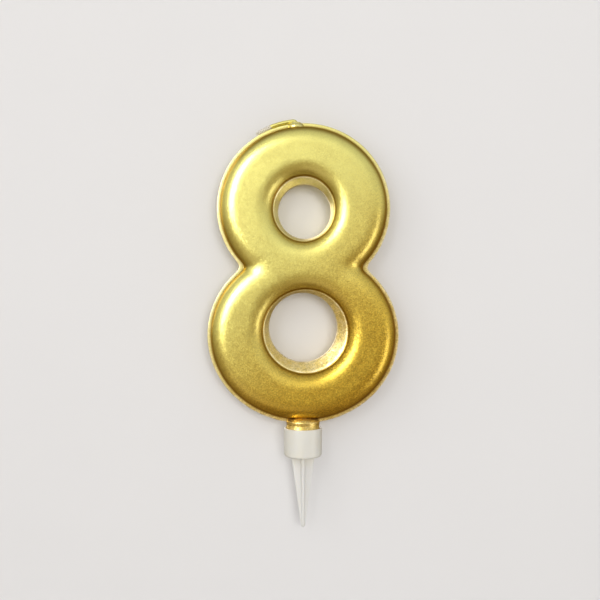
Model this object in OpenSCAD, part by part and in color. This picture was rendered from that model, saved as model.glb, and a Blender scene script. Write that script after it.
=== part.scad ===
// Figure eight birthday candle: gold lacquered wax with a folded wick, standing in a push-in cake holder.
// The origin is the centre of the holder cup's underside, which rests on the cake.
// +Z runs up the candle, +X is to the right of someone facing it, and its front faces -Y.

/* [Upper loop] */
// Radius of the outline
upper_r = 34.1; // [30:0.1:38]
// Radius of the hole where it is narrowest
upper_hole_r = 10.4; // [8:0.1:12]
// Thickness from front to back
upper_t = 14.6; // [12:0.1:15.6]

/* [Lower loop] */
// Half the height of the outline
lower_r = 35.1; // [31:0.1:40]
// Half the height of the hole where it is narrowest
lower_hole_r = 13.2; // [10:0.1:15]
// Thickness from front to back
lower_t = 15.2; // [12.6:0.1:16.2]
// Width over height, for the outline and the hole
lower_stretch = 1.088; // [1.02:0.002:1.14]

/* [Edges of the figure] */
// How far the seam rim stands out from the puffed body
rim_w = 1.2; // [0.8:0.1:2]
// Thickness of the seam rim
rim_t = 1.8; // [1.4:0.1:2.4]
// Width of the sloping lip round each hole
lip_w = 2.8; // [2:0.1:3.6]
// Thickness of that lip where it leaves the puffed body
lip_t = 8.4; // [6:0.2:10]
// Material left between each outline and the other loop's hole
waist_margin = 0.7; // [0.4:0.1:2]

/* [Lacquer] */
// Thickness of the gold lacquer
coat_t = 0.35; // [0.25:0.05:0.5]
// How far the lacquer reaches down into the cup
coat_in_cup = 2.4; // [1:0.1:5]

/* [Foot] */
// Diameter of the foot that stands in the holder
foot_d = 13.4; // [11:0.1:15]
// Height of the neck between the cup's rim and the figure
neck_h = 1.9; // [1:0.1:5]
// Bevel round the foot's end
foot_bevel = 0.6; // [0.3:0.1:1.2]

/* [Wick] */
// Diameter of the wick
wick_d = 1.8; // [1.4:0.1:2.2]
// Length of its free end, along the curve
wick_free = 17.5; // [10:0.5:25]
// Distance of the wick to the left of the figure's middle
wick_offset = 2.8; // [2:0.1:5]
// Radius of the bend where the wick turns into the loop
wick_bend_r = 5; // [4:0.5:6]
// Angle from the lower loop's middle at which the wick ends, below the horizontal
wick_stop_angle = 60; // [30:5:70]
// Outer diameter of the wax collar round the wick
collar_d = 4.2; // [4:0.1:5]
// Gap between the free end and what it turns beside
wick_gap = 0.2; // [0.15:0.05:0.3]
// How far the rounded knuckle at each bend stands out from the wick
knuckle_proud = 0.03; // [0.02:0.01:0.05]

/* [Holder] */
// Wall of the cup
cup_wall = 0.82; // [0.7:0.02:1.6]
// Height of the cup
cup_h = 11.4; // [9:0.1:16]
// Thickness of the cup's floor
cup_floor = 1.6; // [1.2:0.1:2.5]
// Radius round the cup's lower edge
cup_round = 1.2; // [0.8:0.1:1.2]
// Length of the spike under the cup
spike_len = 28.4; // [20:0.2:40]
// Width of the front blade at its top
spike_w = 9.4; // [7:0.1:11]
// Width of the cross rib at its top
rib_w = 6.2; // [4:0.1:8]
// Width of both blades just above the point
spike_tip_w = 2; // [1.4:0.1:3]
// Length of the point
spike_point = 1.4; // [1:0.1:2.5]
// Thickness of both blades
blade_t = 1.5; // [1.2:0.1:2]

/* [Fits] */
// Clearance all round the foot in the cup
foot_fit = 0.08; // [0.03:0.01:0.1]
// Gap under the foot
foot_gap = 0.1; // [0.05:0.05:0.3]

/* [Hidden] */
$fn = 96;

// How much of the narrower way across a puffed body its two rounded corners take up
round_share = 0.96;

// Widths of the puffed bodies, seam rims left out
upper_body_w = upper_r - rim_w - lip_w - upper_hole_r;
lower_body_w = lower_r - rim_w - lip_w - lower_hole_r;

// Where the loops stand, and how far their outlines overlap at the waist
loop_overlap = min(upper_body_w, lower_body_w) + rim_w - waist_margin;
lower_z = cup_h + neck_h + lower_r;
upper_z = lower_z + lower_r + upper_r - loop_overlap;

// The wick's path: down the left of the upper loop, then down the right of the lower one.
// It follows the middle of each body, moved out by the same amount in both so that they meet at the waist.
wick_r = wick_d / 2;
upper_mid_r = upper_hole_r + lip_w + upper_body_w / 2;
lower_mid_r = lower_hole_r + lip_w + lower_body_w / 2;
wick_shift = (upper_z - lower_z - upper_mid_r - lower_mid_r) / 2;
wick_upper_r = upper_mid_r + wick_shift;
wick_lower_r = lower_mid_r + wick_shift;
bend_x = -wick_offset - wick_bend_r;
bend_z = upper_z + sqrt(pow(wick_upper_r + wick_bend_r, 2) - bend_x * bend_x);
bend_angle = atan2(bend_z - upper_z, -bend_x);

// The free end lies along the outline and turns about its root
tip_r = upper_r + wick_gap + wick_r;
tip_start = asin(wick_offset / tip_r);
tip_angle = wick_free / tip_r * 180 / PI;
hinge_z = upper_z + tip_r * cos(tip_start);
collar_top = hinge_z - wick_r - knuckle_proud - wick_gap;

// The wick's stretches stop this far from the middle of the knuckle that joins them
knuckle_r = wick_r + knuckle_proud;
knuckle_gap = 0.1;

// The foot and its cup
foot_r = foot_d / 2;
foot_z = cup_floor + foot_gap;
coat_end = cup_h - coat_in_cup;
socket_r = foot_r + foot_fit;
cup_r = socket_r + cup_wall;

// Half of a loop's cross-section, from the narrowest place in the hole to the outline, shrunk by inset
module loop_section(hole_r, body_w, thick, inset) {
    body_in = hole_r + lip_w;
    body_out = body_in + body_w;
    corner_r = round_share * min(thick, body_w) / 2;
    round_r = corner_r - inset;
    round_y = thick / 2 - corner_r;
    for (x = [body_in + corner_r, body_out - corner_r], y = [-round_y, round_y])
        translate([x, y]) circle(r = round_r);
    translate([body_in + corner_r, inset - thick / 2])
        square([body_w - 2 * corner_r, thick - 2 * inset]);
    translate([body_in + inset, -round_y])
        square([body_w - 2 * inset, 2 * round_y]);
    translate([body_out - round_r, inset - rim_t / 2])
        square([round_r + rim_w - inset, rim_t - 2 * inset]);
    lip_in = rim_t / 2 - inset;
    lip_out = lip_t / 2 - inset;
    polygon([
        [hole_r + inset, -lip_in],
        [body_in, -lip_out],
        [body_in + round_r, -lip_out],
        [body_in + round_r, lip_out],
        [body_in, lip_out],
        [hole_r + inset, lip_in]
    ]);
}

// One loop, standing upright with its axis front to back
module loop(z, hole_r, body_w, thick, stretch, inset) {
    translate([0, 0, z])
        scale([stretch, 1, 1])
            rotate([90, 0, 0])
                rotate_extrude()
                    loop_section(hole_r, body_w, thick, inset);
}

// The figure with its foot and wick collar, every outside face moved in by inset
module figure(inset) {
    loop(upper_z, upper_hole_r, upper_body_w, upper_t, 1, inset);
    loop(lower_z, lower_hole_r, lower_body_w, lower_t, lower_stretch, inset);
    neck_r = foot_r - inset;
    neck_top = cup_h + neck_h + rim_w;
    rotate_extrude() {
        translate([0, coat_end]) square([neck_r, neck_top - coat_end]);
        translate([0, neck_top]) intersection() {
            circle(r = neck_r);
            square(neck_r);
        }
    }
    translate([-wick_offset, 0, upper_z + wick_upper_r])
        cylinder(r = collar_d / 2 - inset, h = collar_top - inset - upper_z - wick_upper_r);
}

// The wick's straight stretch, from its bend up through the collar
module wick_stem(top) {
    translate([-wick_offset, 0, bend_z + knuckle_gap])
        cylinder(r = wick_r, h = top - bend_z - knuckle_gap);
}

// A bent stretch of wick about [0, z] or [x, z], between two angles from the +X direction
module wick_arc(x, z, r, from, to) {
    gap_angle = knuckle_gap / r * 180 / PI;
    translate([x, 0, z])
        rotate([90, 0, 0])
            rotate([0, 0, from + gap_angle])
                rotate_extrude(angle = to - from - 2 * gap_angle)
                    translate([r, 0]) circle(r = wick_r);
}

// The rounded joint between two stretches of wick
module knuckle(x, z) {
    translate([x, 0, z]) sphere(r = knuckle_r);
}

// The wick inside the wax, its straight stretch reaching up to top
module wick_body(top) {
    wick_stem(top);
    knuckle(-wick_offset, bend_z);
    wick_arc(bend_x, bend_z, wick_bend_r, -bend_angle, 0);
    knuckle(-wick_upper_r * cos(bend_angle), upper_z + wick_upper_r * sin(bend_angle));
    wick_arc(0, upper_z, wick_upper_r, 180 - bend_angle, 270);
    knuckle(0, upper_z - wick_upper_r);
    wick_arc(0, lower_z, wick_lower_r, -wick_stop_angle, 90);
}

module wax_body() {
    color("ivory") difference() {
        union() {
            figure(coat_t);
            translate([0, 0, foot_z + foot_bevel])
                cylinder(r = foot_r, h = coat_end - foot_z - foot_bevel);
            translate([0, 0, foot_z])
                cylinder(r1 = foot_r - foot_bevel, r2 = foot_r, h = foot_bevel);
        }
        wick_body(collar_top + 1);
    }
}

module gold_coat() {
    color("gold") difference() {
        figure(0);
        figure(coat_t);
        wick_stem(collar_top + 1);
    }
}

module wick() {
    color("white") wick_body(collar_top);
}

module wick_tip() {
    color("khaki") {
        knuckle(-wick_offset, hinge_z);
        wick_arc(0, upper_z, tip_r, 90 + tip_start, 90 + tip_start + tip_angle);
    }
}

// A tapering blade under the cup, seen from the front
module blade(top_w) {
    rotate([90, 0, 0])
        linear_extrude(height = blade_t, center = true)
            polygon([
                [-top_w / 2, cup_floor / 2],
                [-top_w / 2, 0],
                [-spike_tip_w / 2, spike_point - spike_len],
                [0, -spike_len],
                [spike_tip_w / 2, spike_point - spike_len],
                [top_w / 2, 0],
                [top_w / 2, cup_floor / 2]
            ]);
}

module holder() {
    color("snow") {
        rotate_extrude() difference() {
            union() {
                square([cup_r - cup_round, cup_round]);
                translate([0, cup_round]) square([cup_r, cup_h - cup_round]);
                translate([cup_r - cup_round, cup_round]) circle(r = cup_round);
            }
            translate([0, cup_floor]) square([socket_r, cup_h]);
        }
        blade(spike_w);
        rotate([0, 0, 90]) blade(rib_w);
    }
}

wax_body();
gold_coat();
wick();
wick_tip();
holder();
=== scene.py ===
"""Looks of a figure eight birthday candle standing in its push-in cake holder.

Shapes are worked out in millimetres, in the frame's own axes, and put into the meshes in metres.
+Z runs up the candle, +X is to the right of someone facing it, and its front faces -Y.
"""

import logging
import math
from dataclasses import dataclass, field, replace
from enum import Enum

import bpy
import numpy as np
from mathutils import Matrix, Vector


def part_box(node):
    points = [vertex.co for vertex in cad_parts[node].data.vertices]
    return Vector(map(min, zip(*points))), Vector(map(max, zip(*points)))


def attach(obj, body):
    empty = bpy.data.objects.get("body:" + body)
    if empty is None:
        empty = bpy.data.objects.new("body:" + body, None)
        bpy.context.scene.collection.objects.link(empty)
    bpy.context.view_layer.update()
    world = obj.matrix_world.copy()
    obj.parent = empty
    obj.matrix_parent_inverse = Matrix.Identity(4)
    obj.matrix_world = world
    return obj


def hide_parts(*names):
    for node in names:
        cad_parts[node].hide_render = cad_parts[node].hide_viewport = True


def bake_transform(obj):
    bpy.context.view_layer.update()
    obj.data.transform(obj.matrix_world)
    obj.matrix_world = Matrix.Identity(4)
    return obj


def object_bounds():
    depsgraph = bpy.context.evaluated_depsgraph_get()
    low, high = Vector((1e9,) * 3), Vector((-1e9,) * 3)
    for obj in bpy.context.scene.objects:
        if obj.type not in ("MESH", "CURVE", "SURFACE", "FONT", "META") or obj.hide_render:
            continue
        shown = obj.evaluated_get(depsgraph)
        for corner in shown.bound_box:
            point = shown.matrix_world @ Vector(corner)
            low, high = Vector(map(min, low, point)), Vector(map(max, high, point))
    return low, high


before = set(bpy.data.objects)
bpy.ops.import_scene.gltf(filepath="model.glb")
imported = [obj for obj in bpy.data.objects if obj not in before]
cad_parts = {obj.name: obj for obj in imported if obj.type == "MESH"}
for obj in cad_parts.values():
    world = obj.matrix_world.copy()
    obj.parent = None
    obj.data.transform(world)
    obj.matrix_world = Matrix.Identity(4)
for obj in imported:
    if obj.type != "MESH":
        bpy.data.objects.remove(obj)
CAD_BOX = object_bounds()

MM = 0.001
LOG = logging.getLogger("candle")

# Where a wick's lacquer ends, in millimetres along it, when none of it is lacquered
UNCOATED = -9.0

# How finely, in decimals of a millimetre, points are told apart when shells are welded
WELD_DECIMALS = 4

# Solving for an edge: how often an interval is halved, Newton's steps, and the nudge for a slope
HALVINGS = 50
NEWTON_STEPS = 8
NUDGE = 1e-4
TINY = 1e-6

Colour = tuple[float, float, float]

# A closed surface: its points, its faces as lists of point numbers, and the marks of its points
Surface = tuple[np.ndarray, list[list[int]], np.ndarray]


class Body(Enum):
    """The frame's bodies."""

    HOLDER = "holder"
    CANDLE = "candle"
    WICK_END = "wick_end"


class Slot(Enum):
    """The record's material slots."""

    WAX = "wax"
    GOLD = "gold_lacquer"
    COTTON = "wick_cotton"
    PLASTIC = "holder_plastic"


# ---------------------------------------------------------------------------------------------
# Meshes


class Shell:
    """A closed surface made of grids of points that meet along their edges."""

    def __init__(self) -> None:
        """Starts with no grids."""
        self.points: list[np.ndarray] = []
        self.quads: list[np.ndarray] = []
        self.marks: list[np.ndarray] = []
        self.count = 0

    def grid(
        self,
        points: np.ndarray,
        wrap: bool = False,
        turned_over: bool = False,
        marks: np.ndarray | None = None,
    ) -> "Shell":
        """Adds a grid: quads join each point to the next along both of its parameters.

        Args:
            points: Points in millimetres, shaped (columns, rows, 3).
            wrap: Whether the last column joins the first.
            turned_over: Whether the faces look the other way.
            marks: Numbers carried by the points, shaped (columns, rows, kinds).

        Returns:
            The shell itself.
        """
        columns, rows = points.shape[:2]
        index = self.count + np.arange(columns * rows).reshape(columns, rows)
        near = index if wrap else index[:-1]
        far = np.roll(index, -1, axis=0) if wrap else index[1:]
        corners = [near[:, :-1], far[:, :-1], far[:, 1:], near[:, 1:]]
        quads = np.stack(corners, -1).reshape(-1, 4)
        self.points.append(points.reshape(-1, 3))
        self.quads.append(quads[:, ::-1] if turned_over else quads)
        if marks is None:
            marks = np.zeros((columns, rows, 1))
        self.marks.append(marks.reshape(columns * rows, -1))
        self.count += columns * rows
        return self

    def welded(self, outward: bool = True) -> Surface:
        """Joins points at the same place, drops folded faces and turns the faces one way.

        The signed volume is a sixth of the sum of every face's triple product, and its sign says
        which way the faces look.

        Args:
            outward: Whether the faces look out of the closed volume.

        Returns:
            The closed surface.
        """
        points = np.concatenate(self.points)
        rounded = np.round(points, WELD_DECIMALS)
        _, first, same = np.unique(rounded, axis=0, return_index=True, return_inverse=True)
        quads = same.reshape(-1)[np.concatenate(self.quads)]
        points = points[first]
        a, b, c, d = (points[quads[:, i]] for i in range(4))
        volume = np.einsum("ij,ij->", np.cross(a, b), c) + np.einsum("ij,ij->", np.cross(a, c), d)
        if (volume > 0) != outward:
            quads = quads[:, ::-1]
        whole = (quads != np.roll(quads, 1, axis=1)).all(axis=1)
        faces = quads[whole].tolist()
        folded = (list(dict.fromkeys(quad)) for quad in quads[~whole].tolist())
        faces += [face for face in folded if len(face) > 2]
        return points, faces, np.concatenate(self.marks)[first]


def make_piece(
    name: str,
    shells: list[Surface],
    material: bpy.types.Material,
    attributes: tuple[str, ...] = (),
) -> bpy.types.Object:
    """Puts welded shells into one smooth mesh object at the origin.

    Args:
        name: The piece's name.
        shells: The piece's closed surfaces.
        material: The finish.
        attributes: A name for each kind of mark, to store it on the points.

    Returns:
        The new object.
    """
    starts = np.cumsum([0] + [len(s[0]) for s in shells[:-1]])
    points = np.concatenate([s[0] for s in shells]) * MM
    faces = [[int(start) + i for i in face] for start, s in zip(starts, shells) for face in s[1]]
    mesh = bpy.data.meshes.new(name)
    mesh.from_pydata(points.tolist(), [], faces)
    mesh.polygons.foreach_set("use_smooth", np.ones(len(mesh.polygons), bool))
    for kind, attribute in enumerate(attributes):
        values = np.concatenate([s[2][:, kind] for s in shells]).astype(np.float32)
        mesh.attributes.new(attribute, "FLOAT", "POINT").data.foreach_set("value", values)
    mesh.materials.append(material)
    mesh.update()
    piece = bpy.data.objects.new(name, mesh)
    bpy.context.scene.collection.objects.link(piece)
    return piece


def turned(profile: np.ndarray, columns: int, x: float = 0.0) -> np.ndarray:
    """Turns a profile about an upright axis: each point goes round a circle of its own radius.

    Args:
        profile: Rows of (radius, z).
        columns: How many columns go round.
        x: Where the axis stands.

    Returns:
        A grid shaped (columns, rows, 3), whose columns wrap.
    """
    angle = round_angles(columns)
    r, z = profile[None, :, 0], profile[None, :, 1]
    return np.stack(np.broadcast_arrays(x + r * np.cos(angle), r * np.sin(angle), z), -1)


def corner(x: float, z: float, r: float, start: float, end: float, steps: int = 6) -> np.ndarray:
    """Points on a round corner: centre plus r times (cosine, sine) of an angle from start to end.

    Args:
        x: The centre's first coordinate.
        z: The centre's second coordinate.
        r: The radius.
        start: The first angle, in degrees.
        end: The last angle, in degrees.
        steps: How many points.

    Returns:
        Rows of two coordinates.
    """
    angle = np.radians(np.linspace(start, end, steps))
    return np.stack([x + r * np.cos(angle), z + r * np.sin(angle)], -1)


def smooth_max(a: np.ndarray, b: np.ndarray, width: float | np.ndarray) -> np.ndarray:
    """The larger of a and b, plus (width - |a - b|)^2 / (4 width) where they are closer than width."""
    return np.maximum(a, b) + np.maximum(width - np.abs(a - b), 0) ** 2 / (4 * width)


def smooth_step(x: np.ndarray, low: float, high: float) -> np.ndarray:
    """Rises from 0 at low to 1 at high along 3 t^2 - 2 t^3."""
    t = np.clip((x - low) / (high - low), 0, 1)
    return t * t * (3 - 2 * t)


def bell(x: np.ndarray, middle: float, width: float | np.ndarray, power: int = 2) -> np.ndarray:
    """1 at the middle, falling along the exponential of minus |(x - middle) / width|^power."""
    return np.exp(-(np.abs((x - middle) / width) ** power))


def round_angles(count: int) -> np.ndarray:
    """A column of that many equally spaced angles round a full turn, in radians."""
    return np.linspace(0, 2 * np.pi, count, endpoint=False)[:, None]


# ---------------------------------------------------------------------------------------------
# Shader graphs


class Value:
    """One output socket, on which arithmetic adds Math nodes."""

    def __init__(self, graph: "Graph", socket: bpy.types.NodeSocket | None) -> None:
        """Wraps a socket of the graph."""
        self.graph = graph
        self.socket = socket

    def _math(self, operation: str, a: "Value | float", b: "Value | float" = 0.0) -> "Value":
        """Adds a Math node on two values."""
        return self.graph.node("ShaderNodeMath", {"operation": operation}, {0: a, 1: b})

    def __add__(self, other: "Value | float") -> "Value":
        """self + other."""
        return self._math("ADD", self, other)

    __radd__ = __add__

    def __sub__(self, other: "Value | float") -> "Value":
        """self - other."""
        return self._math("SUBTRACT", self, other)

    def __rsub__(self, other: float) -> "Value":
        """other - self."""
        return self._math("SUBTRACT", other, self)

    def __mul__(self, other: "Value | float") -> "Value":
        """self * other."""
        return self._math("MULTIPLY", self, other)

    __rmul__ = __mul__

    def __truediv__(self, other: "Value | float") -> "Value":
        """self / other."""
        return self._math("DIVIDE", self, other)

    def __pow__(self, other: "Value | float") -> "Value":
        """self to the power other."""
        return self._math("POWER", self, other)

    def __gt__(self, other: "Value | float") -> "Value":
        """1 where self is over other, and 0 elsewhere."""
        return self._math("GREATER_THAN", self, other)

    def clamped(self) -> "Value":
        """self kept from 0 to 1."""
        return self.graph.node("ShaderNodeClamp", {}, {0: self})


class Graph:
    """A material's or world's node tree, and the one way to add nodes to it."""

    def __init__(self, owner: bpy.types.Material | bpy.types.World) -> None:
        """Empties the owner's node tree.

        Args:
            owner: The material or world.
        """
        owner.use_nodes = True
        self.tree = owner.node_tree
        self.tree.nodes.clear()
        self.ending = "ShaderNodeOutputMaterial"
        if isinstance(owner, bpy.types.World):
            self.ending = "ShaderNodeOutputWorld"

    def node(
        self,
        kind: str,
        settings: dict | None = None,
        inputs: dict | None = None,
        output: int | str = 0,
    ) -> Value:
        """Adds a node.

        Args:
            kind: The node's type.
            settings: Properties, set before the sockets; "stops" are a colour ramp's.
            inputs: For each socket's name or number, a number, a tuple or a Value to link.
            output: The output that is handed back.

        Returns:
            That output, wrapped.
        """
        node = self.tree.nodes.new(kind)
        for name, value in (settings or {}).items():
            if name == "stops":
                self._set_stops(node.color_ramp, value)
            else:
                setattr(node, name, value)
        for socket, value in (inputs or {}).items():
            if isinstance(value, Value):
                self.tree.links.new(value.socket, node.inputs[socket])
            elif isinstance(value, tuple) and node.inputs[socket].type == "RGBA":
                node.inputs[socket].default_value = (*value, 1.0)
            else:
                node.inputs[socket].default_value = value
        return Value(self, node.outputs[output] if len(node.outputs) else None)

    @staticmethod
    def _set_stops(ramp: bpy.types.ColorRamp, stops: list[tuple[float, Colour]]) -> None:
        """Gives a colour ramp its stops.

        Args:
            ramp: The ramp, which starts with two stops.
            stops: Places from 0 to 1, each with its colour.
        """
        for place, colour in stops[2:]:
            ramp.elements.new(place)
        for element, (place, colour) in zip(ramp.elements, stops):
            element.position, element.color = place, (*colour, 1.0)

    def place(self) -> Value:
        """The point's place on its own object, in metres."""
        return self.node("ShaderNodeTexCoord", output="Object")

    def part(self, vector: Value, axis: str) -> Value:
        """A vector's part along X, Y or Z."""
        return self.node("ShaderNodeSeparateXYZ", {}, {0: vector}, output=axis)

    def attribute(self, name: str) -> Value:
        """A number stored on the mesh's points."""
        return self.node("ShaderNodeAttribute", {"attribute_name": name}, output="Fac")

    def noise(
        self,
        size: float,
        detail: float = 2.0,
        roughness: float = 0.5,
        vector: Value | None = None,
    ) -> Value:
        """Noise from about 0 to 1.

        Args:
            size: The size of its blotches, in millimetres.
            detail: How many finer layers it has.
            roughness: How strong those layers are.
            vector: Where it is read, the point's place if not given.

        Returns:
            The noise.
        """
        vector = vector or self.place()
        sockets = {"Vector": vector, "Scale": 1 / (size * MM), "Detail": detail, "Roughness": roughness}
        return self.node("ShaderNodeTexNoise", {}, sockets)

    def cells(self, size: float) -> Value:
        """Cells of about that size in millimetres, each with its own random colour."""
        sockets = {"Vector": self.place(), "Scale": 1 / (size * MM)}
        return self.node("ShaderNodeTexVoronoi", {}, sockets, output="Color")

    def mix(
        self,
        factor: Value | float,
        a: Value | Colour,
        b: Value | Colour,
        blend: str = "MIX",
    ) -> Value:
        """Mixes two colours: a where the factor is 0 and b where it is 1."""
        settings = {"data_type": "RGBA", "blend_type": blend}
        return self.node("ShaderNodeMix", settings, {0: factor, 6: a, 7: b}, output=2)

    def vector(
        self,
        operation: str,
        a: Value | tuple,
        b: Value | tuple = (0.0, 0.0, 0.0),
        output: int | str = 0,
    ) -> Value:
        """Adds a Vector Math node on two vectors."""
        return self.node("ShaderNodeVectorMath", {"operation": operation}, {0: a, 1: b}, output)

    def ramp(self, value: Value, low: float, high: float) -> Value:
        """0 up to low, 1 from high, and smooth between them."""
        sockets = {"Value": value, "From Min": low, "From Max": high}
        return self.node("ShaderNodeMapRange", {"interpolation_type": "SMOOTHSTEP"}, sockets)

    def bump(self, height: Value, depth: float, normal: Value | None = None) -> Value:
        """A normal tilted by a height.

        Args:
            height: The height, from 0 to 1.
            depth: What the whole height stands for, in millimetres.
            normal: The normal that is tilted, the surface's own if not given.

        Returns:
            The tilted normal.
        """
        sockets = {"Height": height, "Distance": depth * MM, "Strength": 1.0}
        if normal is not None:
            sockets["Normal"] = normal
        return self.node("ShaderNodeBump", {}, sockets)

    def surface(self, shader: Value) -> None:
        """Makes a shader the tree's surface."""
        self.node(self.ending, {}, {"Surface": shader})


# ---------------------------------------------------------------------------------------------
# Finishes


@dataclass(frozen=True)
class GoldLacquer:
    """Satin gold lacquer: fine metal flakes, mottled where it is thick and pale where it is thin.

    Its colour fades from lower to upper between fade_low and fade_high, which are heights in metres
    less fade_slant times the place across. This fade is painted light: paler and more lemon towards the
    upper left, where the light falls more brightly, and deeper gold below. Each flake's brightness in
    the base colour varies as painted glints, more strongly below, and the dark brown colour that the
    figure's marks mix in is painted shade. Sizes of flakes and blotches are in millimetres, and a tilt
    is how far a flake's normal leans.
    """

    upper: Colour = (0.82, 0.76, 0.235)
    lower: Colour = (0.72, 0.50, 0.06)
    deep: Colour = (0.72, 0.66, 0.60)
    pale: Colour = (0.93, 0.82, 0.54)
    # The dark brown of the painted shade.
    painted_shade: Colour = (0.24, 0.13, 0.015)
    edge_tint: Colour = (0.66, 0.46, 0.20)
    fade_low: float = 0.018
    fade_high: float = 0.100
    fade_slant: float = 1.0
    roughness: float = 0.32
    roughness_spread: float = 0.06
    roughness_size: float = 3.5
    rough_flakes: float = 0.05
    rough_flake_share: float = 0.2
    flake: float = 0.40
    fine_flake: float = 0.18
    flake_tilt: float = 0.07
    fine_tilt: float = 0.05
    upper_calm: float = 0.5
    glint: float = 0.06
    lower_glint: float = 0.24
    mottle: float = 9.0
    mottle_share: float = 0.22
    wear: float = 2.2
    wear_least: float = 0.55
    bare: float = 0.5
    coat: float = 0.45
    coat_roughness: float = 0.26
    peel: float = 1.6
    peel_depth: float = 0.0015

    def flakes(self, g: Graph, fade: Value, random: Value) -> Value:
        """The normal, leaning a different way on every flake of two sizes, over a faint orange peel.

        Args:
            g: The graph that the nodes go into.
            fade: The painted light's mask: 0 where the lower colour is and 1 where the upper one is.
            random: The coarse flakes' random colours.

        Returns:
            The normal.
        """
        centre = (-0.5, -0.5, -0.5)
        amount = self.flake_tilt * 2 * (1.0 - self.upper_calm * fade)
        tilt = g.vector("MULTIPLY", g.vector("ADD", random, centre), amount)
        fine = g.vector("ADD", g.cells(self.fine_flake), centre)
        fine_tilt = g.vector("MULTIPLY", fine, (self.fine_tilt * 2,) * 3)
        face = g.node("ShaderNodeNewGeometry", output="Normal")
        tilted = g.vector("NORMALIZE", g.vector("ADD", face, g.vector("ADD", tilt, fine_tilt)))
        return g.bump(g.noise(self.peel, 3.0, 0.55), self.peel_depth, tilted)

    def shader(self, g: Graph) -> Value:
        """Adds the lacquer's nodes.

        Args:
            g: The graph that they go into.

        Returns:
            The shader.
        """
        # Painted light: the colour is paler and more lemon towards the upper left and deeper gold below.
        slanted = g.part(g.place(), "Z") - g.part(g.place(), "X") * self.fade_slant
        fade = g.ramp(slanted, self.fade_low, self.fade_high)
        flake = g.cells(self.flake)
        random = g.node("ShaderNodeSeparateColor", {}, {0: flake})
        # Painted glints: each flake's brightness in the base colour varies, more strongly below.
        glint = self.lower_glint - (self.lower_glint - self.glint) * fade
        brightness = 1.0 + (random * 2.0 - 1.0) * glint

        cloudy = g.ramp(g.noise(self.mottle, 4.0, 0.6), 0.35, 0.68)
        base = g.mix(fade, self.lower, self.upper)
        mottled = g.mix(cloudy * self.mottle_share, base, self.deep, "MULTIPLY")
        patches = g.ramp(g.noise(self.wear, 3.0, 0.6), 0.35, 0.6)
        patchy = self.wear_least + (1 - self.wear_least) * patches
        worn = (g.attribute("edge") * patchy).clamped()
        # Painted shade: the figure's marks darken the lacquer towards dark brown at the lips, round the
        # holes and along the edges, and take its clear coat away there.
        shaded = g.attribute("painted_shade").clamped()
        with_painted_shade = g.mix(shaded, g.mix(worn, mottled, self.pale), self.painted_shade)

        cloud = g.noise(self.roughness_size, 3.0, 0.6)
        rough_flake = self.rough_flakes * (random > 1 - self.rough_flake_share)
        sockets = {
            "Base Color": g.mix(1.0, with_painted_shade, brightness, "MULTIPLY"),
            "Metallic": 1.0 - self.bare * worn,
            "Roughness": (self.roughness + self.roughness_spread * cloud + rough_flake).clamped(),
            "Normal": self.flakes(g, fade, flake),
            "Specular Tint": self.edge_tint,
            "Coat Weight": self.coat * (1.0 - shaded),
            "Coat Roughness": self.coat_roughness,
        }
        return g.node("ShaderNodeBsdfPrincipled", {}, sockets)

    def material(self) -> bpy.types.Material:
        """The lacquer as a material.

        Returns:
            The material.
        """
        material = bpy.data.materials.new("gold_lacquer")
        g = Graph(material)
        g.surface(self.shader(g))
        return material


@dataclass(frozen=True)
class CandleWax:
    """Pale ivory paraffin wax with a faint bloom, in cloudy patches over a fine grain."""

    base: Colour = (0.86, 0.80, 0.64)
    bloom: Colour = (0.93, 0.90, 0.80)
    patch: float = 4.0
    grain: float = 0.8
    grain_depth: float = 0.02
    roughness: float = 0.42
    bloom_roughness: float = 0.14
    glow: float = 0.35
    glow_reach: Colour = (1.0, 0.7, 0.4)
    glow_depth: float = 2.0

    def material(self) -> bpy.types.Material:
        """The wax as a material.

        Returns:
            The material.
        """
        material = bpy.data.materials.new("candle_wax")
        g = Graph(material)
        cloudy = g.ramp(g.noise(self.patch, 4.0, 0.6), 0.35, 0.7)
        sockets = {
            "Base Color": g.mix(cloudy, self.base, self.bloom),
            "Roughness": self.roughness + self.bloom_roughness * cloudy,
            "Normal": g.bump(g.noise(self.grain, 4.0, 0.6), self.grain_depth),
            "Subsurface Weight": self.glow,
            "Subsurface Radius": self.glow_reach,
            "Subsurface Scale": self.glow_depth * MM,
        }
        g.surface(g.node("ShaderNodeBsdfPrincipled", {}, sockets))
        return material


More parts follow.
